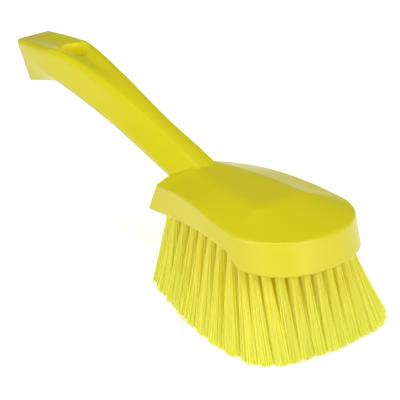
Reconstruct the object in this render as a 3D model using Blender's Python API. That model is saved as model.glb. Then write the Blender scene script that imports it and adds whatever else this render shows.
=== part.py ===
"""Short-handled wash brush: one moulded body, and splayed tufts of bristle in its drilled holes.

Metres, +Z up. The handle lies towards -X and the nose of the block towards +X. The brush stands
on the tips of its bristles at z = 0, with its origin under the middle of its bounding box.
"""

import math
import random
from collections.abc import Callable
from dataclasses import dataclass

import bmesh
import bpy
from mathutils import Vector

# Heights
BRISTLE_LENGTH = 0.0445
WALL_HEIGHT = 0.0184
TOP_ARCH = 0.0037
REAR_EDGE_RISE = 0.0034
CROWN_REAR_HEIGHT = 0.0051
CROWN_FRONT_HEIGHT = 0.0064

# The block's outline, from its rear edge at x = 0 to its nose
BLOCK_LENGTH = 0.1188
BLOCK_WIDTH = 0.0790
SIDE_DRAFT = 0.0010
NOSE_LENGTH = 0.0368
REAR_BULGE = 0.0015
REAR_CORNER_RADIUS = 0.0030
REAR_DRAFT = 0.0008
NOSE_DRAFT = 0.0037
NOSE_POWER = 2.3
NOSE_TOP_POWER = 2.15
LOWER_EDGE_RADIUS = 0.0012
TOP_EDGE_RADIUS = 0.0018

# The finger recess, which lifts the lower edge along each side
RECESS_RISE = 0.0080
RECESS_UNDERCUT = 0.0110
RECESS_OVERHANG = 0.0090
RECESS_FADE = 0.0130

# The crown's flat top, which narrows towards the handle
CROWN_REAR = 0.0130
CROWN_REAR_WIDTH = 0.0140
CROWN_NOSE_MARGIN = 0.0403
CROWN_FRONT_WIDTH = 0.0310
CROWN_CORNER_RADIUS = 0.0020
CROWN_CREASE_WIDTH = 0.0022
CROWN_CREASE_SHARE = 0.90

# The handle
HANDLE_REACH = 0.1507
HANDLE_RISE = 0.0323
GRIP_WIDTH = 0.0290
GRIP_EDGE = 0.0040
GRIP_SIDE_EDGE = 0.0020
EDGE_REACH_SHARE = 0.4
TOP_SWELL = 0.0008
BELLY_SWELL = 0.0012

# The hang hole through the handle
HANG_HOLE_LENGTH = 0.0195
HANG_HOLE_WIDTH = 0.0140
HANG_HOLE_AT = 0.1110
HANG_HOLE_FLARE = 0.0026

# The tufts: their roots in the drilled holes, and how far the outer row stands inside the edge
TUFT_DIAMETER = 0.0056
TUFT_CLEARANCE = 0.0003
TUFT_ROOT_DEPTH = 0.0120
TUFT_SIDE_MARGIN = 0.0060
TUFT_REAR_MARGIN = 0.0125
TUFT_NOSE_MARGIN = 0.0090
TUFT_CORNER_RADIUS = 0.0040
SPINE_MARGIN = 0.0260

# The outline through the ends of the outer tufts at z = 0
TIP_REAR_AT = 0.0085
TIP_REAR_WIDTH = 0.0520
TIP_CORNER_RADIUS = 0.0050
TIP_LAG = 0.0190
TIP_SIDE_SPREAD = 0.00625
TIP_NOSE_SPREAD = 0.0047
TIP_NOSE_POWER = 2.0

# The strands of a tuft
STRANDS_AROUND = 6
STRAND_SIDES = 4
STRAND_ROOT_WIDTH = 0.0009
STRAND_TIP_WIDTH = 0.0017
STRAND_ROOT_RING = 0.0018
STRAND_TIP_RING = 0.0042
STRAND_TIP_GAP = 0.0004
STRAND_EMBED = 0.0010
STRAND_WIDTH_SHARE = 0.58
STRAND_SCATTER_SHARE = 0.06
SCATTER_SEED = 7

# Steps along each stretch of an outline, round a hole, along the handle and round an edge
REAR_STEPS = 5
CORNER_STEPS = 3
SIDE_STEPS = 24
NOSE_STEPS = 22
ARC_STEPS = 3
BORE_SIDES = 8
HANG_HOLE_SIDES = 28
HANDLE_STEPS = 6
EDGE_STEPS = 3
SMOOTH_ANGLE = 28

CUT_OVERRUN = 0.0040
UNDERSIDE = BRISTLE_LENGTH
TOP_EDGE = UNDERSIDE + WALL_HEIGHT
WIDEST_AT = BLOCK_LENGTH - NOSE_LENGTH
RECESS_END = WIDEST_AT + RECESS_OVERHANG
CROWN_FRONT = BLOCK_LENGTH - CROWN_NOSE_MARGIN

# Stations at equal steps from the block's rear edge to its widest place. Shares of the lower and
# of the top width, of the arch by which the top edge stands above its nose end, and of the recess.
BLOCK_STATION_SHARES = (
    (0.760, 0.665, -1.00, 0.00),
    (0.808, 0.756, -0.10, 0.40),
    (0.875, 0.847, 0.40, 0.80),
    (0.957, 0.943, 0.30, 1.00),
    (1.000, 1.000, 0.00, 0.90),
)

# Sections of the handle from inside the block to its end. The first three pairs are shares of the
# handle's reach and of its rise above the crown, for the top line, the widest line and the belly.
# Then come the half widths there as shares of the grip's, the rounding of the upper and of the
# lower edge, and the swell of the top, which turns to a dish round the hang hole.
HANDLE_SECTION_SHARES = (
    (-0.146, -0.065, -0.110, -0.365, -0.100, -0.480, 0.440, 0.985, 0.780, 0.40, 1.00, 1.00),
    (-0.016, 0.140, 0.009, -0.230, 0.020, -0.345, 0.420, 0.965, 0.790, 0.40, 1.00, 1.00),
    (0.204, 0.435, 0.232, 0.030, 0.242, -0.055, 0.435, 0.905, 0.790, 0.50, 1.00, 1.00),
    (0.448, 0.785, 0.474, 0.270, 0.484, 0.235, 0.585, 0.950, 0.710, 0.70, 1.00, 0.00),
    (0.700, 1.040, 0.708, 0.475, 0.712, 0.410, 0.845, 1.010, 0.720, 1.00, 0.90, -3.50),
    (0.822, 0.995, 0.805, 0.535, 0.790, 0.345, 1.015, 1.015, 0.720, 1.00, 0.60, -2.50),
    (1.000, 0.900, 0.966, 0.640, 0.929, 0.165, 0.880, 0.880, 0.745, 0.70, 0.25, 0.00),
)

# The rows of tufts: how far each is drawn in towards the middle line, and how many tufts it has
# along half of the rear, along one side and along half of the nose.
TUFT_ROW_SHARES = {"outer": 0.0, "middle": 0.40, "inner": 0.80}
TUFT_ROW_COUNTS = {"outer": (3, 7, 7), "middle": (1, 4, 3), "inner": (0, 3, 1)}


def mix(start, end, share):
    return start + (end - start) * share


def clamp(value, low, high):
    return min(high, max(low, value))


def ease(share):
    """A smooth step from 0 to 1."""
    return (1 - math.cos(math.pi * clamp(share, 0, 1))) / 2


def curve_between(before, start, end, after, share):
    """A point on the smooth curve from start to end, which heads for the points on either side."""
    leave = (end - before) / 2
    arrive = (after - start) / 2
    rest = 1 - share
    ends = start * rest**2 * (1 + 2 * share) + end * share**2 * (1 + 2 * rest)
    return ends + leave * share * rest**2 - arrive * rest * share**2


def row_at(rows, place):
    """The row at that place between numbered rows, on a smooth curve through them."""
    index = clamp(math.floor(place), 0, len(rows) - 2)
    near = [rows[clamp(index + offset, 0, len(rows) - 1)] for offset in (-1, 0, 1, 2)]
    return [curve_between(*values, place - index) for values in zip(*near)]


def block_station(x):
    """The block's four shares at x, held at the rear edge and at the widest place."""
    last = len(BLOCK_STATION_SHARES) - 1
    return row_at(BLOCK_STATION_SHARES, last * clamp(x / WIDEST_AT, 0, 1))


def lower_half(x):
    return BLOCK_WIDTH / 2 * block_station(x)[0]


def top_half(x):
    return (BLOCK_WIDTH / 2 - SIDE_DRAFT) * block_station(x)[1]


def top_edge_height(x):
    return TOP_EDGE + TOP_ARCH * block_station(x)[2]


def recess_share(x):
    """How much of the finger recess there is at x."""
    return block_station(x)[3] * ease((RECESS_END - x) / RECESS_FADE)


def lower_edge_height(x):
    return UNDERSIDE + RECESS_RISE * recess_share(x)


def undercut(x):
    """How far inside the lower outline the flat of the underside begins at x."""
    return LOWER_EDGE_RADIUS + RECESS_UNDERCUT * recess_share(x)


def underside_height(x, y):
    """Height of the underside, which rises towards the finger recess."""
    inside = clamp((lower_half(x) - abs(y)) / undercut(x), 0, 1)
    return mix(lower_edge_height(x), UNDERSIDE, inside)


def crown_height(x):
    """Height of the crown's flat top at x, on one sloping plane."""
    along = (x - CROWN_REAR) / (CROWN_FRONT - CROWN_REAR)
    return TOP_EDGE + mix(CROWN_REAR_HEIGHT, CROWN_FRONT_HEIGHT, along)


def spreading_half(rear, rear_half, widest_at, widest_half):
    """The half width of a side that spreads quickly at first and ends parallel."""
    return lambda x: mix(rear_half, widest_half, math.sin(math.pi / 2 * (x - rear) / (widest_at - rear)))


@dataclass
class Outline:
    """One half of a plan outline, at y of 0 and more: a rear edge, a side and a nose."""

    rear: float
    bulge: float
    corner: float
    side_half: Callable
    widest_at: float
    nose: float
    nose_power: float

    def rear_points(self):
        flat = self.side_half(self.rear + self.corner) - self.corner
        points = []
        for step in range(REAR_STEPS):
            share = step / REAR_STEPS
            points.append((self.rear - self.bulge * (1 - share**2), flat * share))
        for step in range(CORNER_STEPS):
            angle = math.pi / 2 * step / CORNER_STEPS
            x = self.rear + self.corner * (1 - math.cos(angle))
            points.append((x, flat + self.corner * math.sin(angle)))
        return points

    def side_points(self):
        start = self.rear + self.corner
        stations = [mix(start, self.widest_at, step / SIDE_STEPS) for step in range(SIDE_STEPS)]
        return [(x, self.side_half(x)) for x in stations]

    def nose_points(self):
        points = []
        for step in range(NOSE_STEPS):
            angle = math.pi / 2 * step / NOSE_STEPS
            reach = math.sin(angle) ** (2 / self.nose_power)
            half = math.cos(angle) ** (2 / self.nose_power)
            points.append((mix(self.widest_at, self.nose, reach), self.side_half(self.widest_at) * half))
        return points + [(self.nose, 0.0)]

    def stretches(self):
        """The rear, the side and the nose, each up to the start of the next."""
        rear, side, nose = self.rear_points(), self.side_points(), self.nose_points()
        return rear + side[:1], side + nose[:1], nose

    def ring(self):
        """The whole outline, anticlockwise from above, from the middle of the rear."""
        side = self.rear_points() + self.side_points() + self.nose_points()
        return [(x, -y) for x, y in side] + [(x, y) for x, y in reversed(side[1:-1])]


class CrownOutline(Outline):
    """The crown's flat top, which has a straight front edge in place of a nose."""

    def nose_points(self):
        half = self.side_half(self.widest_at)
        points = []
        for step in range(NOSE_STEPS + 1):
            left = 1 - step / NOSE_STEPS
            points.append((mix(self.nose, self.widest_at, left**self.nose_power), half * left))
        return points


def lower_outline():
    return Outline(0.0, REAR_BULGE, REAR_CORNER_RADIUS, lower_half, WIDEST_AT, BLOCK_LENGTH, NOSE_POWER)


def top_outline():
    nose = BLOCK_LENGTH - NOSE_DRAFT
    return Outline(REAR_DRAFT, REAR_BULGE, REAR_CORNER_RADIUS, top_half, WIDEST_AT, nose, NOSE_TOP_POWER)


def crown_outline(inset):
    rear, front = CROWN_REAR + inset, CROWN_FRONT - inset
    corner = CROWN_CORNER_RADIUS
    side = spreading_half(rear, CROWN_REAR_WIDTH / 2 - inset, front - corner, CROWN_FRONT_WIDTH / 2 - inset)
    return CrownOutline(rear, 0.0, corner, side, front - corner, front, 2 * NOSE_POWER)


def root_outline():
    """Where the outer row of tufts leaves the underside."""
    nose = BLOCK_LENGTH - TUFT_NOSE_MARGIN
    return Outline(
        TUFT_REAR_MARGIN,
        0.0,
        TUFT_CORNER_RADIUS,
        lambda x: lower_half(x) - TUFT_SIDE_MARGIN,
        WIDEST_AT,
        nose,
        NOSE_POWER,
    )


def tip_outline():
    """Where the outer row of tufts ends."""
    widest_at = WIDEST_AT + TIP_LAG
    nose = BLOCK_LENGTH + TIP_NOSE_SPREAD
    side = spreading_half(TIP_REAR_AT, TIP_REAR_WIDTH / 2, widest_at, BLOCK_WIDTH / 2 + TIP_SIDE_SPREAD)
    return Outline(TIP_REAR_AT, 0.0, TIP_CORNER_RADIUS, side, widest_at, nose, TIP_NOSE_POWER)


def inset_ring(ring, distances):
    """The ring moved inwards at each point, by that point's distance."""
    moved = []
    for index, (x, y) in enumerate(ring):
        before = ring[index - 1]
        after = ring[(index + 1) % len(ring)]
        along = Vector((after[0] - before[0], after[1] - before[1])).normalized()
        moved.append((x - along.y * distances[index], y + along.x * distances[index]))
    return moved


def spread_along(path, count):
    """That many points along a path, each in the middle of its equal part of the length."""
    lengths = [math.dist(start, end) for start, end in zip(path, path[1:])]
    places = []
    walked = 0.0
    piece = 0
    for index in range(count):
        target = sum(lengths) * (index + 0.5) / count
        while walked + lengths[piece] < target:
            walked += lengths[piece]
            piece += 1
        share = (target - walked) / lengths[piece]
        start, end = path[piece], path[piece + 1]
        places.append((mix(start[0], end[0], share), mix(start[1], end[1], share)))
    return places


def towards_spine(path, share, low, high):
    """The path drawn in towards the middle line between low and high, by that share of the way."""
    return [(mix(x, clamp(x, low, high), share), mix(y, 0.0, share)) for x, y in path]


def row_places(outline, share, counts):
    """The places of half a row of tufts, as far inside the outline as the share says."""
    low, high = outline.rear + SPINE_MARGIN, outline.nose - SPINE_MARGIN
    places = []
    for stretch, count in zip(outline.stretches(), counts):
        places += spread_along(towards_spine(stretch, share, low, high), count)
    return places


def tuft_lines():
    """(row, root, tip) of each tuft: where it leaves the underside and where it ends."""
    lines = []
    for row, share in TUFT_ROW_SHARES.items():
        roots = row_places(root_outline(), share, TUFT_ROW_COUNTS[row])
        tips = row_places(tip_outline(), share, TUFT_ROW_COUNTS[row])
        for (root_x, root_y), (tip_x, tip_y) in zip(roots, tips):
            height = underside_height(root_x, root_y)
            for side in (-1, 1):
                root = Vector((root_x, side * root_y, height))
                lines.append((row, root, Vector((tip_x, side * tip_y, 0.0))))
    return lines


def clear_scene():
    for obj in list(bpy.data.objects):
        bpy.data.objects.remove(obj, do_unlink=True)


def new_collection(name, hidden):
    collection = bpy.data.collections.new(name)
    bpy.context.scene.collection.children.link(collection)
    collection.hide_render = hidden
    return collection


def new_material(name, colour, roughness):
    material = bpy.data.materials.new(name)
    material.use_nodes = True
    shader = material.node_tree.nodes["Principled BSDF"]
    shader.inputs["Base Color"].default_value = (*colour, 1.0)
    shader.inputs["Roughness"].default_value = roughness
    return material


def body_material():
    """Yellow polypropylene, moulded with a satin skin."""
    return new_material("body_polypropylene", (0.70, 0.64, 0.030), 0.42)


def bristle_material():
    """Yellow polyester strands, a little brighter than the body."""
    return new_material("bristle_polyester", (0.78, 0.74, 0.070), 0.38)


def mesh_object(name, mesh, collection, helper=False):
    obj = bpy.data.objects.new(name, mesh)
    collection.objects.link(obj)
    if helper:
        obj.hide_render = True
        obj.display_type = "WIRE"
    return obj


def add_rings(bm, rings):
    """A closed loft through rings of equal count, each anticlockwise when seen from the last."""
    loops = [[bm.verts.new(point) for point in ring] for ring in rings]
    for lower, upper in zip(loops, loops[1:]):
        for index in range(len(lower)):
            after = (index + 1) % len(lower)
            bm.faces.new((lower[index], lower[after], upper[after], upper[index]))
    bm.faces.new(list(reversed(loops[0])))
    bm.faces.new(loops[-1])


def mesh_from(bm, name):
    """Ends the bmesh as a mesh, shaded smooth except over its creases."""
    bmesh.ops.recalc_face_normals(bm, faces=bm.faces)
    mesh = bpy.data.meshes.new(name)
    bm.to_mesh(mesh)
    bm.free()
    mesh.shade_smooth()
    mesh.set_sharp_from_angle(angle=math.radians(SMOOTH_ANGLE))
    return mesh


def loft_mesh(name, rings):
    bm = bmesh.new()
    add_rings(bm, rings)
    return mesh_from(bm, name)


def add_boolean(obj, name, operation, other):
    modifier = obj.modifiers.new(name, "BOOLEAN")
    modifier.operation = operation
    modifier.solver = "EXACT"
    modifier.object = other


def lifted(ring, height_at, offset=0.0):
    return [(x, y, height_at(x) + offset) for x, y in ring]


def quarter_arc(radius):
    """(inset, drop) down a rounded edge, from its side round to its top."""
    angles = [math.pi / 2 * step / ARC_STEPS for step in range(ARC_STEPS + 1)]
    return [(radius * (1 - math.cos(angle)), radius * (1 - math.sin(angle))) for angle in angles]


def top_ring():
    """The wall's top edge, which climbs along the rear towards the handle."""
    outline = top_outline()
    flat = outline.side_half(outline.rear) - outline.corner
    ring = []
    for x, y in outline.ring():
        climb = REAR_EDGE_RISE * max(0, 1 - (y / flat) ** 2) if x < outline.rear else 0
        ring.append((x, y, top_edge_height(x) + climb))
    return ring


def block_mesh():
    """The block, level by level: underside, lower edge, wall, top edge, facets and crown."""
    lower = lower_outline().ring()
    flat = inset_ring(lower, [undercut(x) for x, _ in lower])
    rings = [lifted(flat, lambda x: UNDERSIDE)]
    for inset, rise in reversed(quarter_arc(LOWER_EDGE_RADIUS)[:-1]):
        ring = inset_ring(lower, [inset] * len(lower))
        rings.append(lifted(ring, lower_edge_height, rise))
    top = top_ring()
    for inset, drop in quarter_arc(TOP_EDGE_RADIUS):
        ring = inset_ring([(x, y) for x, y, _ in top], [inset] * len(top))
        rings.append([(x, y, z - drop) for (x, y), (_, _, z) in zip(ring, top)])
    crease = lifted(crown_outline(0.0).ring(), crown_height)
    rings.append([Vector(edge).lerp(end, CROWN_CREASE_SHARE) for edge, end in zip(rings[-1], crease)])
    rings.append(lifted(crown_outline(CROWN_CREASE_WIDTH).ring(), crown_height))
    return loft_mesh("block", rings)


def handle_rows():
    """The handle's sections with smooth steps between them."""
    count = (len(HANDLE_SECTION_SHARES) - 1) * HANDLE_STEPS
    return [row_at(HANDLE_SECTION_SHARES, step / HANDLE_STEPS) for step in range(count + 1)]


def on_handle(reach_share, rise_share):
    """A point in the handle's middle plane."""
    return Vector((-reach_share * HANDLE_REACH, 0.0, crown_height(CROWN_REAR) + rise_share * HANDLE_RISE))


def rounded_corner(before, corner, after, reach):
    """Points round a corner, which start and end that far from it where its edges are long enough."""
    shortest = min((before - corner).length, (after - corner).length)
    reach = min(reach, shortest * EDGE_REACH_SHARE)
    start = corner + (before - corner).normalized() * reach
    end = corner + (after - corner).normalized() * reach
    shares = [step / EDGE_STEPS for step in range(EDGE_STEPS + 1)]
    return [start.lerp(corner, share).lerp(corner.lerp(end, share), share) for share in shares]


def handle_section(row):
    """One closed section: a flat top, sides that lean out to the widest line, and a belly."""
    top_x, top_z, wide_x, wide_z, low_x, low_z = row[:6]
    top_share, wide_share, low_share, upper_edge_share, lower_edge_share, swell_share = row[6:]
    top, wide, low = on_handle(top_x, top_z), on_handle(wide_x, wide_z), on_handle(low_x, low_z)
    up = (top - low).normalized()
    half = Vector((0.0, GRIP_WIDTH / 2, 0.0))
    belly = low - up * BELLY_SWELL
    ridge = top + up * TOP_SWELL * swell_share
    low_edge = low + half * low_share
    wide_edge = wide + half * wide_share
    top_corner = top + half * top_share
    side = [belly]
    side += rounded_corner(belly, low_edge, wide_edge, GRIP_EDGE * lower_edge_share)
    side += rounded_corner(low_edge, wide_edge, top_corner, GRIP_SIDE_EDGE)
    side += rounded_corner(wide_edge, top_corner, ridge, GRIP_EDGE * upper_edge_share)
    side.append(ridge)
    return side + [Vector((point.x, -point.y, point.z)) for point in reversed(side[1:-1])]


def leaning_prism(bm, root, tip, radius, low, high):
    """A prism along the line from tip to root, with level ends at those two heights."""
    rings = []
    for height in (low, high):
        centre = tip.lerp(root, height / root.z)
        angles = [2 * math.pi * (side + 0.5) / BORE_SIDES for side in range(BORE_SIDES)]
        rings.append([centre + Vector((math.cos(turn), math.sin(turn), 0.0)) * radius for turn in angles])
    add_rings(bm, rings)


def tuft_bores_mesh():
    """The drilled holes as one cutter, each wider and deeper than its tuft by the clearance."""
    bm = bmesh.new()
    radius = TUFT_DIAMETER / 2 + TUFT_CLEARANCE / math.cos(math.pi / BORE_SIDES)
    for _, root, tip in tuft_lines():
        high = root.z + TUFT_ROOT_DEPTH + TUFT_CLEARANCE
        leaning_prism(bm, root, tip, radius, root.z - CUT_OVERRUN, high)
    return mesh_from(bm, "tuft_bores")


def handle_levels(reach_share, half):
    """Heights of the belly and of the top, that far from its middle, at a share of the reach."""
    row = min(handle_rows(), key=lambda shares: abs(shares[0] - reach_share))
    low = on_handle(row[4], row[5]).z - BELLY_SWELL
    swell = TOP_SWELL * row[11] * max(0, 1 - half / (GRIP_WIDTH / 2 * row[6]))
    return low, on_handle(row[0], row[1]).z + swell


def hang_hole_mesh():
    """An oval hole straight down through the handle, with a rounded mouth at either end."""
    low, high = handle_levels(HANG_HOLE_AT / HANDLE_REACH, HANG_HOLE_WIDTH / 2 + HANG_HOLE_FLARE)
    mouth = [(HANG_HOLE_FLARE - inset, drop) for inset, drop in quarter_arc(HANG_HOLE_FLARE)]
    levels = [(low - CUT_OVERRUN, HANG_HOLE_FLARE)]
    levels += [(low + drop, HANG_HOLE_FLARE - flare) for flare, drop in reversed(mouth)]
    levels += [(high - drop, HANG_HOLE_FLARE - flare) for flare, drop in mouth]
    levels.append((high + CUT_OVERRUN, HANG_HOLE_FLARE))
    rings = []
    for height, flare in levels:
        ring = []
        for side in range(HANG_HOLE_SIDES):
            turn = 2 * math.pi * side / HANG_HOLE_SIDES
            x = (HANG_HOLE_LENGTH / 2 + flare) * math.cos(turn) - HANG_HOLE_AT
            ring.append((x, (HANG_HOLE_WIDTH / 2 + flare) * math.sin(turn), height))
        rings.append(ring)
    return loft_mesh("hang_hole", rings)


def build_body(parts, cutters):
    """Block and handle as one moulding, drilled for the tufts and the hang hole."""
    body = mesh_object("brush_body", block_mesh(), parts)
    body.data.materials.append(body_material())
    sections = [handle_section(row) for row in handle_rows()]
    handle = mesh_object("handle_form", loft_mesh("handle", sections), cutters, helper=True)
    bores = mesh_object("tuft_bores", tuft_bores_mesh(), cutters, helper=True)
    hang_hole = mesh_object("hang_hole", hang_hole_mesh(), cutters, helper=True)
    add_boolean(body, "handle", "UNION", handle)
    add_boolean(body, "tuft_bores", "DIFFERENCE", bores)
    add_boolean(body, "hang_hole", "DIFFERENCE", hang_hole)
    return body


def strand_ring(centre, width, turn):
    """The square end of a strand."""
    angles = [turn + 2 * math.pi * (side + 0.5) / STRAND_SIDES for side in range(STRAND_SIDES)]
    radius = width / math.sqrt(2)
    return [centre + Vector((math.cos(angle), math.sin(angle), 0.0)) * radius for angle in angles]


def tip_ring(tip, tips):
    """How far the outer strands end from the middle of their tuft, clear of the next tuft's."""
    room = min((tip - other).length for other in tips if other is not tip) - STRAND_TIP_GAP
    reach_share = 1 + STRAND_WIDTH_SHARE / math.sqrt(2) + STRAND_SCATTER_SHARE * math.sqrt(2)
    return min(STRAND_TIP_RING, room / 2 / reach_share)


def strands_mesh(name, root, tip, spread, scatter):
    """Straight strands that fan out from the root's end to level cuts at z = 0."""
    lean = math.atan2(tip.y - root.y, tip.x - root.x)
    tip_width = min(STRAND_TIP_WIDTH, spread * STRAND_WIDTH_SHARE)
    bm = bmesh.new()
    for index in range(STRANDS_AROUND + 1):
        turn = lean + 2 * math.pi * index / STRANDS_AROUND
        across = Vector((math.cos(turn), math.sin(turn), 0.0)) if index else Vector((0.0, 0.0, 0.0))
        stray = Vector((scatter.uniform(-1, 1), scatter.uniform(-1, 1), 0.0)) * STRAND_SCATTER_SHARE
        end = tip + (across + stray) * spread
        top = end.lerp(root + across * STRAND_ROOT_RING, 1 + STRAND_EMBED / root.z)
        add_rings(bm, [strand_ring(end, tip_width, turn), strand_ring(top, STRAND_ROOT_WIDTH, turn)])
    return mesh_from(bm, name)


def build_tuft(name, root, tip, strands_form, material, parts, cutters):
    """One tuft: the root that fills its drilled hole, and the strands that fan out of it."""
    bm = bmesh.new()
    leaning_prism(bm, root, tip, TUFT_DIAMETER / 2, root.z, root.z + TUFT_ROOT_DEPTH)
    tuft = mesh_object(name, mesh_from(bm, name), parts)
    tuft.data.materials.append(material)
    strands = mesh_object(name + "_strands", strands_form, cutters, helper=True)
    add_boolean(tuft, "strands", "UNION", strands)
    return tuft


def build_tufts(parts, cutters):
    scatter = random.Random(SCATTER_SEED)
    material = bristle_material()
    lines = tuft_lines()
    tips = [tip for _, _, tip in lines]
    numbers = {}
    tufts = []
    for row, root, tip in lines:
        numbers[row] = numbers.get(row, 0) + 1
        name = f"tuft_{row}_{numbers[row]:02d}"
        strands = strands_mesh(name, root, tip, tip_ring(tip, tips), scatter)
        tufts.append(build_tuft(name, root, tip, strands, material, parts, cutters))
    return tufts


def centre_on_origin(pieces):
    """Hangs every piece and helper on an empty that brings the middle of the whole to x = 0."""
    bpy.context.view_layer.update()
    graph = bpy.context.evaluated_depsgraph_get()
    ends = [corner[0] for piece in pieces for corner in piece.evaluated_get(graph).bound_box]
    frame = bpy.data.objects.new("brush_frame", None)
    bpy.context.scene.collection.objects.link(frame)
    frame.location.x = -(min(ends) + max(ends)) / 2
    for obj in bpy.data.objects:
        if obj.type == "MESH":
            obj.parent = frame


def main():
    clear_scene()
    parts = new_collection("wash_brush", hidden=False)
    cutters = new_collection("cutters", hidden=True)
    body = build_body(parts, cutters)
    tufts = build_tufts(parts, cutters)
    centre_on_origin([body] + tufts)


main()
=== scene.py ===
"""Looks of a short-handled wash brush, laid out as an add-on and run as a script."""

import math
import random

import bpy
from bpy.props import FloatProperty, FloatVectorProperty, IntProperty, PointerProperty
from bpy.types import Operator, Panel, PropertyGroup
from mathutils import Matrix, Vector


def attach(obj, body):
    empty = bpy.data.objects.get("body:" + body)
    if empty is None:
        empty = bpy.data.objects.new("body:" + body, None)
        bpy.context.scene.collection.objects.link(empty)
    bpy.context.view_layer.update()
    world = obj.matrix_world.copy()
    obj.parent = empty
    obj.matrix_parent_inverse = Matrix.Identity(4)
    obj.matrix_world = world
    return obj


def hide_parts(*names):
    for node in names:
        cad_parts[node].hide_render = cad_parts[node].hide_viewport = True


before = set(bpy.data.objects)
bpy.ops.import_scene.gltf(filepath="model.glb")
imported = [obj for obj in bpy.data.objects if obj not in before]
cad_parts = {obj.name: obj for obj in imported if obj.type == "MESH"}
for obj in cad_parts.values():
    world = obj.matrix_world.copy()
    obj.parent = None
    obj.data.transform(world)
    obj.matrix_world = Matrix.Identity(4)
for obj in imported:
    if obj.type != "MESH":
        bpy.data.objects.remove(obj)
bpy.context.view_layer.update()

bl_info = {
    "name": "Wash Brush",
    "version": (1, 0, 0),
    "blender": (4, 5, 0),
    "location": "View3D > Sidebar > Wash Brush",
    "description": "Dresses the wash brush's solids with its moulded finish and its bristles",
    "category": "Object",
}

BODY_NODE = "brush_body"
TUFT_NODES = sorted(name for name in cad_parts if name.startswith("tuft_"))

# Points of a solid that lie this close to its top or to the ground count as lying on it.
LEVEL = 0.0001

# How the strands of a tuft are set out.
GOLDEN_TURN = math.pi * (3.0 - math.sqrt(5.0))
SQUARENESS = 0.95
START_IN_PLUG = 0.5
STRAND_KNOTS = 5
INWARD_BOW = 0.03
RARITY = 3
STRAND_SEED = 11
SHADE_RANGE = (0.97, 1.05)

# Where the extra splay of a corner starts and where it is full, along the brush and across it.
REAR_CORNER_ALONG = (0.034, 0.022)
REAR_CORNER_ACROSS = (0.014, 0.026)
REAR_CORNER_WAY = (-0.87, 0.5)
NOSE_CORNER_ALONG = (0.105, 0.120)
NOSE_CORNER_ACROSS = (0.018, 0.034)

# Where a look starts and where it is full: heights, a distance from the hang hole's axis, and
# for the sky the upward share of the direction.
HANG_HOLE_X = -0.099
CROWN_HEIGHTS = (0.0665, 0.070)
# Where the painted glow round the hang hole starts and where it is full.
PAINTED_HOLE_GLOW_REACH = (0.0115, 0.0085)
# Heights over which the painted shade and glow inside the brush come in, full towards the block.
INNER_SHADE_HEIGHTS = (0.008, 0.036)
SKY_HEIGHTS = (0.03, 0.18)

# The two plastics.
BODY_IOR = 1.49
BODY_SPECULAR = 0.6
BODY_COLOUR_RANGE = (0.99, 1.01)
BODY_ROUGHNESS_STEP = 0.01
EDGE_SAMPLES = 8
FLOW_SCALE = 12.0
SKIN_SCALE = 30.0
FIBRE_IOR = 1.57
FIBRE_ROUGHNESS = (0.22, 0.52)
STREAK_SCALE = 900.0

# The stage.
WHITE = (1.0, 1.0, 1.0, 1.0)
FLOOR_COLOUR = (0.90, 0.90, 0.90, 1.0)
FLOOR_ROUGHNESS = 0.9
FLOOR_SPECULAR = 0.1
LAMP_AIM = Vector((0.0, 0.0, 0.05))
SENSOR_WIDTH = 36.0
VIEW_DISTANCE = 20.0


class BodyFinish(PropertyGroup):
    """The moulded body's finish."""

    colour: FloatVectorProperty(
        name="Colour", description="Colour of the moulded plastic", subtype="COLOR", size=3,
        min=0.0, max=1.0, default=(0.78, 0.70, 0.005))
    roughness: FloatProperty(
        name="Roughness", description="How dull the moulded skin is", subtype="FACTOR",
        min=0.0, max=1.0, default=0.28)
    edge: FloatProperty(
        name="Edge Radius", description="How far the light runs round the edges of the block's wall",
        unit="LENGTH", min=0.0, default=0.0016)
    crown_edge: FloatProperty(
        name="Crown Radius", description="The same for the block's crown and the handle",
        unit="LENGTH", min=0.0, default=0.0045)
    # Painted glow: the body gives off its own colour as light round the hang hole, in place of light
    # through the thin walls.
    hole_glow: FloatProperty(
        name="Hole Glow", description="Light that the thin walls round the hang hole let through",
        min=0.0, default=0.16)


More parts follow.
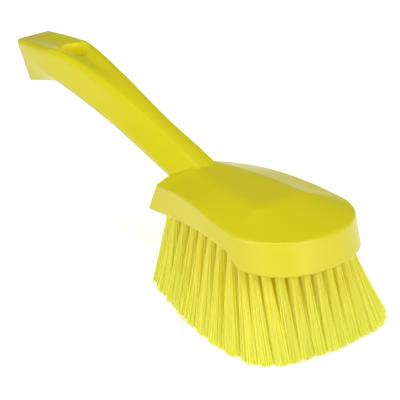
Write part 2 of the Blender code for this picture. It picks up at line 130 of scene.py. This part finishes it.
class BristleLook(PropertyGroup):
    """The bristles' size, number and colour."""

    strands: IntProperty(
        name="Strands", description="Strands in each tuft", min=7, default=240)
    width: FloatProperty(
        name="Strand Width", description="Thickness of one strand", unit="LENGTH",
        min=0.0001, default=0.00055)
    hole_depth: FloatProperty(
        name="Hole Depth", description="How far a tuft goes into its hole", unit="LENGTH",
        min=0.001, default=0.012)
    root_spread: FloatProperty(
        name="Root Radius", description="Radius that the strands fill where they leave their hole",
        unit="LENGTH", min=0.0, default=0.0022)
    row_reach: FloatProperty(
        name="Reach To Next Row", description="How far the ends inside the brush reach across the rows",
        unit="LENGTH", min=0.0, default=0.0082)
    reach_share: FloatProperty(
        name="Reach To Next Tuft", description="How much of the room to the next tuft the strands fill",
        subtype="FACTOR", min=0.0, max=1.0, default=0.46)
    corner_splay: FloatProperty(
        name="Corner Splay", description="How far the ends at the rear corners stand out beyond the rest",
        unit="LENGTH", min=0.0, default=0.0036)
    nose_splay: FloatProperty(
        name="Nose Splay", description="The same for the two corners beside the nose",
        unit="LENGTH", min=0.0, default=0.0030)
    stray: FloatProperty(
        name="Stray Ends", description="How far a strand's end may lie from its place in the bundle",
        unit="LENGTH", min=0.0, default=0.0022)
    ragged: FloatProperty(
        name="Ragged Ends", description="How much shorter than the longest a strand may be",
        unit="LENGTH", min=0.0, default=0.0030)
    bow: FloatProperty(
        name="Bow", description="How far a strand may bend out of its line", unit="LENGTH",
        min=0.0, default=0.0002)
    # Painted glow: the strands give off their colour as light in place of light passing through them, more
    # inside the brush.
    glow: FloatProperty(
        name="Glow", description="Light that the strands let through on the outside of the brush",
        min=0.0, default=0.115)
    deep_glow: FloatProperty(
        name="Glow Inside", description="The same for the strands inside the brush",
        min=0.0, default=0.125)
    clearness: FloatProperty(
        name="Clearness", description="How much of the light passes through a strand",
        subtype="FACTOR", min=0.0, max=1.0, default=0.45)
    colour: FloatVectorProperty(
        name="Colour", description="Colour of the strands", subtype="COLOR", size=3,
        min=0.0, max=1.0, default=(0.97, 0.965, 0.18))
    # Painted shade: a deeper colour for the strands inside the brush and towards the block, where shade
    # falls between the tufts.
    painted_shade_colour: FloatVectorProperty(
        name="Inner Colour", description="Colour that the strands show inside the brush",
        subtype="COLOR", size=3, min=0.0, max=1.0, default=(0.95, 0.85, 0.01))


class StageSetting(PropertyGroup):
    """The camera, the lamps and the floor."""

    azimuth: FloatProperty(
        name="Azimuth", description="Camera's place round the brush", unit="ROTATION",
        default=math.radians(51.12))
    elevation: FloatProperty(
        name="Elevation", description="Camera's height above the horizon", unit="ROTATION",
        default=math.radians(24.81))
    roll: FloatProperty(
        name="Roll", description="Camera's turn about its own axis", unit="ROTATION",
        default=math.radians(0.085))
    distance: FloatProperty(
        name="Distance", description="From the camera to the point that it looks at", unit="LENGTH",
        default=1.0999)
    aim: FloatVectorProperty(
        name="Aim", description="The point that the camera looks at", subtype="TRANSLATION", size=3,
        default=(0.02139, 0.0, 0.04464))
    lens: FloatProperty(
        name="Lens", description="Focal length in millimetres on a sensor 36 mm wide", default=177.3)
    key_power: FloatProperty(
        name="Key Lamp", description="Power of the main lamp, above the camera and to its right",
        unit="POWER", default=7.2)
    left_power: FloatProperty(
        name="Left Lamp", description="Power of the soft lamp to the left", unit="POWER", default=13.7)
    right_power: FloatProperty(
        name="Right Lamp", description="Power of the soft lamp to the right", unit="POWER", default=5.6)
    top_power: FloatProperty(
        name="Top Lamp", description="Power of the soft lamp overhead", unit="POWER", default=11.0)
    sky: FloatProperty(
        name="Sky", description="Strength of the light from above the pale horizon", default=0.11)
    floor_light: FloatProperty(
        name="Floor Light", description="What the camera sees added to the floor, where 1 is white",
        default=0.62)
    floor_size: FloatProperty(
        name="Floor Size", description="Width of the floor", unit="LENGTH", default=6.0)


def deselect_all():
    for obj in bpy.context.selected_objects:
        obj.select_set(False)


def make_active(obj):
    deselect_all()
    obj.select_set(True)
    bpy.context.view_layer.objects.active = obj


def new_material(name):
    """A material, its node tree and its shader. Its glow, if any, isn't sampled as a lamp."""
    material = bpy.data.materials.new(name)
    material.use_nodes = True
    material.cycles.emission_sampling = "NONE"
    tree = material.node_tree
    return material, tree, tree.nodes["Principled BSDF"]


def add_node(tree, kind, **settings):
    node = tree.nodes.new(kind)
    for key, value in settings.items():
        setattr(node, key, value)
    return node


def combined(tree, operation, first, second):
    """The two values added, multiplied or compared; the second may be a plain number."""
    node = add_node(tree, "ShaderNodeMath", operation=operation)
    tree.links.new(first, node.inputs[0])
    if isinstance(second, float):
        node.inputs[1].default_value = second
    else:
        tree.links.new(second, node.inputs[1])
    return node.outputs["Value"]


def noise(tree, vector, scale, detail):
    node = add_node(tree, "ShaderNodeTexNoise")
    node.inputs["Scale"].default_value = scale
    node.inputs["Detail"].default_value = detail
    tree.links.new(vector, node.inputs["Vector"])
    return node.outputs["Fac"]


def spread(tree, value, low, high):
    """The 0 to 1 value spread between low and high."""
    node = add_node(tree, "ShaderNodeMapRange")
    node.inputs["To Min"].default_value = low
    node.inputs["To Max"].default_value = high
    tree.links.new(value, node.inputs["Value"])
    return node.outputs["Result"]


def ramp(tree, value, start, end):
    """The value brought smoothly from 0 at the start to 1 at the end."""
    node = add_node(tree, "ShaderNodeMapRange", interpolation_type="SMOOTHSTEP")
    node.inputs["From Min"].default_value = start
    node.inputs["From Max"].default_value = end
    tree.links.new(value, node.inputs["Value"])
    return node.outputs["Result"]


def height_of(tree, place):
    split = add_node(tree, "ShaderNodeSeparateXYZ")
    tree.links.new(place, split.inputs["Vector"])
    return split.outputs["Z"]


def painted_hole_glow(tree, place, look):
    """Strength of the painted glow round the hang hole, which stands in for light that its thin walls let
    through.
    """
    aside = add_node(tree, "ShaderNodeVectorMath", operation="MULTIPLY_ADD")
    tree.links.new(place, aside.inputs[0])
    aside.inputs[1].default_value = (1.0, 1.0, 0.0)
    aside.inputs[2].default_value = (-HANG_HOLE_X, 0.0, 0.0)
    away = add_node(tree, "ShaderNodeVectorMath", operation="LENGTH")
    tree.links.new(aside.outputs["Vector"], away.inputs[0])
    near = ramp(tree, away.outputs["Value"], *PAINTED_HOLE_GLOW_REACH)
    return combined(tree, "MULTIPLY", near, look.hole_glow)


def body_plastic(look):
    """Moulded polypropylene: a satin skin with faint flow marks, softened edges and a painted glow round
    the hang hole.
    """
    material, tree, shader = new_material("moulded_body")
    place = add_node(tree, "ShaderNodeTexCoord").outputs["Object"]
    tint = add_node(tree, "ShaderNodeVectorMath", operation="SCALE")
    tint.inputs[0].default_value = look.colour
    flow = noise(tree, place, FLOW_SCALE, 0.0)
    tree.links.new(spread(tree, flow, *BODY_COLOUR_RANGE), tint.inputs["Scale"])
    tree.links.new(tint.outputs["Vector"], shader.inputs["Base Color"])
    skin = noise(tree, place, SKIN_SCALE, 0.0)
    dull = spread(tree, skin, look.roughness - BODY_ROUGHNESS_STEP, look.roughness + BODY_ROUGHNESS_STEP)
    tree.links.new(dull, shader.inputs["Roughness"])
    soft = add_node(tree, "ShaderNodeBevel", samples=EDGE_SAMPLES)
    above = ramp(tree, height_of(tree, place), *CROWN_HEIGHTS)
    tree.links.new(spread(tree, above, look.edge, look.crown_edge), soft.inputs["Radius"])
    tree.links.new(soft.outputs["Normal"], shader.inputs["Normal"])
    # Painted glow round the hang hole, in the body's colour.
    shader.inputs["Emission Color"].default_value = (*look.colour, 1.0)
    tree.links.new(painted_hole_glow(tree, place, look), shader.inputs["Emission Strength"])
    shader.inputs["IOR"].default_value = BODY_IOR
    shader.inputs["Specular IOR Level"].default_value = BODY_SPECULAR
    return material


def bristle_fibre(look):
    """Clear polyester strands with a painted shade, a deeper colour inside the brush and towards the
    block, and a painted glow; each strand a little lighter or darker.
    """
    material, tree, shader = new_material("bristle_strands")
    place = add_node(tree, "ShaderNodeTexCoord").outputs["Object"]
    # Painted shade: the strands turn to the deeper colour inside the brush and towards the block.
    inside = add_node(tree, "ShaderNodeAttribute", attribute_name="painted_inner_shade")
    above = ramp(tree, height_of(tree, place), *INNER_SHADE_HEIGHTS)
    inner_shade_mask = combined(tree, "MULTIPLY", above, inside.outputs["Fac"])
    blend = add_node(tree, "ShaderNodeMix", data_type="RGBA")
    blend.inputs["A"].default_value = (*look.colour, 1.0)
    blend.inputs["B"].default_value = (*look.painted_shade_colour, 1.0)
    tree.links.new(inner_shade_mask, blend.inputs["Factor"])
    # Painted glow in the strands' colour, stronger where the painted shade inside the brush is.
    tree.links.new(blend.outputs["Result"], shader.inputs["Emission Color"])
    tree.links.new(spread(tree, inner_shade_mask, look.glow, look.deep_glow), shader.inputs["Emission Strength"])
    shade = add_node(tree, "ShaderNodeAttribute", attribute_name="strand_shade")
    tint = add_node(tree, "ShaderNodeVectorMath", operation="SCALE")
    tree.links.new(blend.outputs["Result"], tint.inputs[0])
    tree.links.new(shade.outputs["Fac"], tint.inputs["Scale"])
    tree.links.new(tint.outputs["Vector"], shader.inputs["Base Color"])
    streaks = noise(tree, place, STREAK_SCALE, 2.0)
    tree.links.new(spread(tree, streaks, *FIBRE_ROUGHNESS), shader.inputs["Roughness"])
    shader.inputs["IOR"].default_value = FIBRE_IOR
    through = add_node(tree, "ShaderNodeBsdfTranslucent")
    tree.links.new(tint.outputs["Vector"], through.inputs["Color"])
    both = add_node(tree, "ShaderNodeMixShader")
    both.inputs["Fac"].default_value = look.clearness
    tree.links.new(shader.outputs["BSDF"], both.inputs[1])
    tree.links.new(through.outputs["BSDF"], both.inputs[2])
    tree.links.new(both.outputs["Shader"], tree.nodes["Material Output"].inputs["Surface"])
    return material


def tuft_ends(name):
    """(top of the plug, middle of the strands' ends) of a tuft's solid."""
    points = [vertex.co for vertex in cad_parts[name].data.vertices]
    top = max(point.z for point in points)
    plug = [point for point in points if point.z > top - LEVEL]
    ends = [point for point in points if point.z < LEVEL]
    return sum(plug, Vector()) / len(plug), sum(ends, Vector()) / len(ends)


def row_of(name):
    return name.split("_")[1]


def ways_along_row(name, tips):
    """The ways from a tuft's tip to its neighbours' tips in its row, on one side and on the other."""
    ways = [tips[other] - tips[name] for other in tips if other != name and row_of(other) == row_of(name)]
    ahead = min(ways, key=lambda way: way.length)
    behind = [way for way in ways if way.dot(ahead) < 0.0]
    return ahead, min(behind, key=lambda way: way.length, default=-ahead)


def bundle_place(index, count):
    """The strand's place in a round bundle of radius 1, all strands evenly apart."""
    out = math.sqrt((index + 0.5) / count)
    turn = index * GOLDEN_TURN
    return out * math.cos(turn), out * math.sin(turn)


def squared(side_x, side_y):
    """A place in a round bundle of radius 1, moved out to fill the square round it."""
    reach = max(abs(side_x), abs(side_y))
    scale = (math.hypot(side_x, side_y) / reach) ** SQUARENESS if reach > 0.0 else 1.0
    return side_x * scale, side_y * scale


def reaches_across(name, tip, across, look):
    """How far the strands' ends reach across the row, outwards and inwards.

    On the outside of the brush they keep to the tuft's solid; inside it they fill the room
    between the rows.
    """
    ends = [vertex.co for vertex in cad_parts[name].data.vertices if vertex.co.z < LEVEL]
    own = max(abs((end - tip).dot(across)) for end in ends)
    return (own if row_of(name) == "outer" else look.row_reach), look.row_reach


def painted_shade_share(name, side_x):
    """How much painted shade and painted glow a strand takes: 0 for a strand on the outside of the brush,
    1 for one inside; side_x is its place across the row.
    """
    return max(-side_x, 0.0) if row_of(name) == "outer" else 1.0


def share_between(value, start, end):
    """How far the value has come from the start to the end, from 0 to 1."""
    return min(max((value - start) / (end - start), 0.0), 1.0)


def corner_push(place, look):
    """How far an end near one of the brush's four corners stands out beyond the rest."""
    side = abs(place.y)
    rear = share_between(place.x, *REAR_CORNER_ALONG) * share_between(side, *REAR_CORNER_ACROSS)
    nose = share_between(place.x, *NOSE_CORNER_ALONG) * share_between(side, *NOSE_CORNER_ACROSS)
    back, aside = REAR_CORNER_WAY
    return (Vector((back, math.copysign(aside, place.y), 0.0)) * (rear * look.corner_splay)
            + Vector((1.0, 0.0, 0.0)) * (nose * look.nose_splay))


def stray(look, chance):
    """How far a strand's end lies from its place in the bundle, which is rarely far."""
    turn = chance.uniform(0.0, 2.0 * math.pi)
    return Vector((math.cos(turn), math.sin(turn), 0.0)) * (look.stray * chance.random() ** RARITY)


def strand_points(top, mouth, tip, across, reaches, ways, place, look, chance):
    """Points down one strand, from inside its hole to its end."""
    side_x, side_y = place
    ahead, behind = ways
    offset = (across * side_x + ahead.normalized() * side_y) * look.root_spread
    start = mouth + offset
    side_x, side_y = squared(side_x, side_y)
    along = ahead if side_y > 0.0 else behind
    reach = reaches[0] if side_x > 0.0 else reaches[1]
    end = tip + across * (side_x * reach) + along * (abs(side_y) * look.reach_share)
    end += corner_push(end, look) + stray(look, chance)
    end.z = look.width * 0.5 + look.ragged * chance.random() ** RARITY
    bend = Vector((chance.uniform(-1.0, 1.0), chance.uniform(-1.0, 1.0), 0.0)) * look.bow
    outward = tip - mouth
    outward.z = 0.0
    bend -= outward * INWARD_BOW
    points = [mouth.lerp(top, START_IN_PLUG) + offset]
    for knot in range(STRAND_KNOTS):
        share = knot / (STRAND_KNOTS - 1)
        points.append(start.lerp(end, share) + bend * math.sin(math.pi * share))
    return points


def make_tuft(name, tips, look, material, chance):
    """Makes the bundle of strands that stands for one tuft's solid."""
    top, tip = tuft_ends(name)
    mouth = top.lerp(tip, look.hole_depth / top.z)
    ways = ways_along_row(name, tips)
    across = Vector((ways[0].y, -ways[0].x, 0.0)).normalized()
    across *= math.copysign(1.0, across.dot(tip - mouth))
    reaches = reaches_across(name, tip, across, look)
    painted_shade_shares = []
    curve = bpy.data.curves.new(name + "_strands", "CURVE")
    curve.dimensions = "3D"
    curve.bevel_depth = look.width / 2
    curve.bevel_resolution = 0
    curve.use_fill_caps = True
    for index in range(look.strands):
        place = bundle_place(index, look.strands)
        painted_shade_shares.append(painted_shade_share(name, place[0]))
        points = strand_points(top, mouth, tip, across, reaches, ways, place, look, chance)
        spline = curve.splines.new("POLY")
        spline.points.add(len(points) - 1)
        for knot, point in zip(spline.points, points):
            knot.co = (*point, 1.0)
    bundle = bpy.data.objects.new(name + "_strands", curve)
    bpy.context.collection.objects.link(bundle)
    make_active(bundle)
    bpy.ops.object.convert(target="MESH")
    bpy.ops.object.shade_smooth()
    bundle = bpy.context.active_object
    mesh = bundle.data
    per_strand = len(mesh.vertices) // look.strands
    shades = [chance.uniform(*SHADE_RANGE) for _ in range(look.strands)]
    # The first is each strand's own tone at random; the second is the mask of the painted shade and
    # painted glow inside the brush.
    for label, values in (("strand_shade", shades), ("painted_inner_shade", painted_shade_shares)):
        layer = mesh.attributes.new(label, "FLOAT", "POINT")
        layer.data.foreach_set("value", [value for value in values for _ in range(per_strand)])
    mesh.materials.clear()
    mesh.materials.append(material)
    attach(bundle, "root")
    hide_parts(name)


class WASHBRUSH_OT_body(Operator):
    """Gives the moulded body its satin plastic"""

    bl_idname = "washbrush.body"
    bl_label = "Moulded Body"
    bl_options = {"REGISTER", "UNDO"}

    def execute(self, context):
        material = body_plastic(context.scene.washbrush_body)
        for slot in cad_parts[BODY_NODE].material_slots:
            slot.material = material
        return {"FINISHED"}


class WASHBRUSH_OT_tufts(Operator):
    """Replaces each tuft's solid with a bundle of fine strands"""

    bl_idname = "washbrush.tufts"
    bl_label = "Bristle Tufts"
    bl_options = {"REGISTER", "UNDO"}

    def execute(self, context):
        look = context.scene.washbrush_bristles
        chance = random.Random(STRAND_SEED)
        material = bristle_fibre(look)
        tips = {name: tuft_ends(name)[1] for name in TUFT_NODES}
        for name in TUFT_NODES:
            make_tuft(name, tips, look, material, chance)
        return {"FINISHED"}


class WASHBRUSH_OT_stage(Operator):
    """Adds the pale floor, the lamps, the surrounding light and the camera"""

    bl_idname = "washbrush.stage"
    bl_label = "Stage"
    bl_options = {"REGISTER", "UNDO"}

    def execute(self, context):
        setting = context.scene.washbrush_stage
        deselect_all()
        self.add_floor(setting)
        self.add_lamps(setting)
        self.add_surroundings(context.scene, setting)
        self.add_camera(context.scene, setting)
        return {"FINISHED"}

    def add_floor(self, setting):
        bpy.ops.mesh.primitive_plane_add(size=setting.floor_size)
        floor = bpy.context.active_object
        floor.name = "studio_floor"
        material, tree, shader = new_material("studio_floor")
        shader.inputs["Base Color"].default_value = FLOOR_COLOUR
        shader.inputs["Roughness"].default_value = FLOOR_ROUGHNESS
        shader.inputs["Specular IOR Level"].default_value = FLOOR_SPECULAR
        shader.inputs["Emission Color"].default_value = WHITE
        rays = add_node(tree, "ShaderNodeLightPath").outputs
        direct = combined(tree, "ADD", rays["Is Camera Ray"], rays["Is Glossy Ray"])
        either = combined(tree, "MAXIMUM", direct, rays["Is Transmission Ray"])
        seen = combined(tree, "MULTIPLY", either, setting.floor_light)
        tree.links.new(seen, shader.inputs["Emission Strength"])
        floor.data.materials.append(material)

    def add_lamps(self, setting):
        for name, place, size, power in (
            ("key_lamp", (1.36, 0.19, 1.10), 0.6, setting.key_power),
            ("left_lamp", (0.03, -1.74, 0.47), 1.2, setting.left_power),
            ("right_lamp", (1.71, 0.33, 0.47), 1.2, setting.right_power),
            ("top_lamp", (0.25, -0.25, 1.60), 1.0, setting.top_power),
        ):
            bpy.ops.object.light_add(type="AREA", location=place)
            lamp = bpy.context.active_object
            lamp.name = name
            lamp.data.size = size
            lamp.data.energy = power
            lamp.rotation_euler = (LAMP_AIM - Vector(place)).to_track_quat("-Z", "Y").to_euler()

    def add_surroundings(self, scene, setting):
        world = bpy.data.worlds.new("studio")
        world.use_nodes = True
        tree = world.node_tree
        light = tree.nodes["Background"]
        light.inputs["Color"].default_value = WHITE
        way = add_node(tree, "ShaderNodeTexCoord").outputs["Generated"]
        above = ramp(tree, height_of(tree, way), *SKY_HEIGHTS)
        tree.links.new(spread(tree, above, 1.0, setting.sky), light.inputs["Strength"])
        scene.world = world

    def add_camera(self, scene, setting):
        az, el = setting.azimuth, setting.elevation
        ahead = Vector((-math.sin(az) * math.cos(el), math.cos(az) * math.cos(el), -math.sin(el)))
        right = Vector((math.cos(az), math.sin(az), 0.0))
        axes = Matrix((right, right.cross(ahead), -ahead)).transposed()
        turn = axes @ Matrix.Rotation(setting.roll, 3, "Z")
        bpy.ops.object.camera_add(location=Vector(setting.aim) - ahead * setting.distance,
                                  rotation=turn.to_euler())
        camera = bpy.context.active_object
        camera.data.sensor_width = SENSOR_WIDTH
        camera.data.lens = setting.lens
        camera.data.clip_end = VIEW_DISTANCE
        scene.camera = camera


class WASHBRUSH_PT_panel(Panel):
    """Lists the brush's pieces and the stage"""

    bl_label = "Wash Brush"
    bl_idname = "WASHBRUSH_PT_panel"
    bl_space_type = "VIEW_3D"
    bl_region_type = "UI"
    bl_category = "Wash Brush"

    def draw(self, context):
        for group, operator in (
            (context.scene.washbrush_body, WASHBRUSH_OT_body),
            (context.scene.washbrush_bristles, WASHBRUSH_OT_tufts),
            (context.scene.washbrush_stage, WASHBRUSH_OT_stage),
        ):
            box = self.layout.box()
            for name in group.bl_rna.properties.keys():
                if name not in {"rna_type", "name"}:
                    box.prop(group, name)
            box.operator(operator.bl_idname)


CLASSES = (
    BodyFinish,
    BristleLook,
    StageSetting,
    WASHBRUSH_OT_body,
    WASHBRUSH_OT_tufts,
    WASHBRUSH_OT_stage,
    WASHBRUSH_PT_panel,
)


def register():
    for cls in CLASSES:
        bpy.utils.register_class(cls)
    bpy.types.Scene.washbrush_body = PointerProperty(type=BodyFinish)
    bpy.types.Scene.washbrush_bristles = PointerProperty(type=BristleLook)
    bpy.types.Scene.washbrush_stage = PointerProperty(type=StageSetting)


def unregister():
    del bpy.types.Scene.washbrush_stage
    del bpy.types.Scene.washbrush_bristles
    del bpy.types.Scene.washbrush_body
    for cls in reversed(CLASSES):
        bpy.utils.unregister_class(cls)


def main():
    register()
    scene = bpy.context.scene
    scene.view_settings.view_transform = "Standard"
    bpy.ops.washbrush.body()
    bpy.ops.washbrush.tufts()
    bpy.ops.washbrush.stage()


if __name__ == "__main__":
    main()
